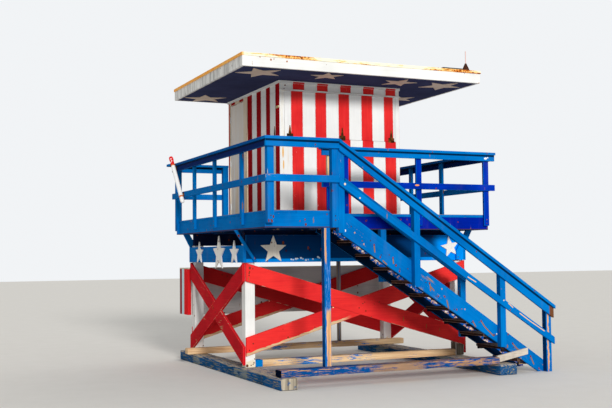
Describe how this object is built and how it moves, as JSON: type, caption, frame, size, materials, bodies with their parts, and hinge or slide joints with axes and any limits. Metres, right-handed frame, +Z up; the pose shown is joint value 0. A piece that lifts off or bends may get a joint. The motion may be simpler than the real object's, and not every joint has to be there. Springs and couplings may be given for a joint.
{
  "type": "lifeguard tower",
  "caption": "Wooden beach lifeguard tower on skids: raised railed deck with landing and side stair, striped cabin with shutters and a hinged door, wide flat roof.",
  "frame": {"origin": "middle of the overall outline in plan, at ground level under the skids", "axes": "+Z up, +X along the front towards the foot of the stair, -Y out of the front, where the stars and the stair are"},
  "size_m": [4.475, 4.25, 4.69],
  "materials": {
    "skid_wood": "weathered grey-blue timber",
    "beam_wood": "timber with peeling blue paint",
    "white_wood": "white painted timber",
    "red_wood": "bright red painted boards",
    "navy_wood": "dark navy painted timber",
    "blue_wood": "sky blue painted timber",
    "grey_wood": "pale grey weathered board",
    "cabin_boards": "white boards with red stripes",
    "roof_wood": "white painted timber with rust runs",
    "rusty_steel": "rusted painted steel",
    "panel_plastic": "matt dark sheet",
    "white_foam": "white moulded foam",
    "red_foam": "red moulded foam",
    "box_board": "grey-white painted board"
  },
  "bodies": {
    "tower": {"back_band": "white_wood", "cabin_back_wall": "cabin_boards", "cabin_floor": "cabin_boards", "cabin_front_wall": "cabin_boards", "cabin_left_wall": "cabin_boards", "cabin_right_wall": "cabin_boards", "cross_beams": "beam_wood", "deck_floor": "blue_wood", "door_casing": "cabin_boards", "drip_edges": "rusty_steel", "far_stair_rail": "blue_wood", "front_back_caps": "blue_wood", "front_back_rail_boards": "blue_wood", "front_back_x_braces": "red_wood", "front_ledge": "cabin_boards", "front_shutter": "cabin_boards", "front_star_panel": "navy_wood", "girders": "navy_wood", "hinge_wall_leaves": "rusty_steel", "joists": "navy_wood", "knee_braces": "blue_wood", "landing_floor": "blue_wood", "legs": "white_wood", "long_fascias": "roof_wood", "long_rims": "blue_wood", "loose_tie_board": "grey_wood", "near_stair_boards": "blue_wood", "near_stair_cap": "blue_wood", "props": "beam_wood", "rafters": "roof_wood", "rail_posts": "blue_wood", "rescue_tube": "white_foam", "roof_deck": "roof_wood", "roof_flat_panel": "panel_plastic", "roof_mast": "rusty_steel", "shutter_hinges": "rusty_steel", "side_bands": "white_wood", "side_caps": "blue_wood", "side_fascias": "roof_wood", "side_rail_boards": "blue_wood", "side_rims": "blue_wood", "side_shutters": "cabin_boards", "side_x_braces": "red_wood", "skids": "skid_wood", "soffit": "navy_wood", "stair_posts": "blue_wood", "stair_treads": "blue_wood", "stars": "white_wood", "storage_box": "box_board", "storage_box_lid": "box_board", "stringers": "blue_wood", "top_trims": "cabin_boards", "tube_brackets": "rusty_steel", "tube_cap": "red_foam"},
    "door": {"door": "cabin_boards", "door_pull": "rusty_steel", "hinge_door_leaves": "rusty_steel"}
  },
  "joints": [
    {"name": "door_hinge", "type": "hinge", "parent": "tower", "child": "door", "pos_m": [-1.2255, 1.745, 3.18], "axis": [0, 0, -1], "range_deg": [0, 90]}
  ]
}
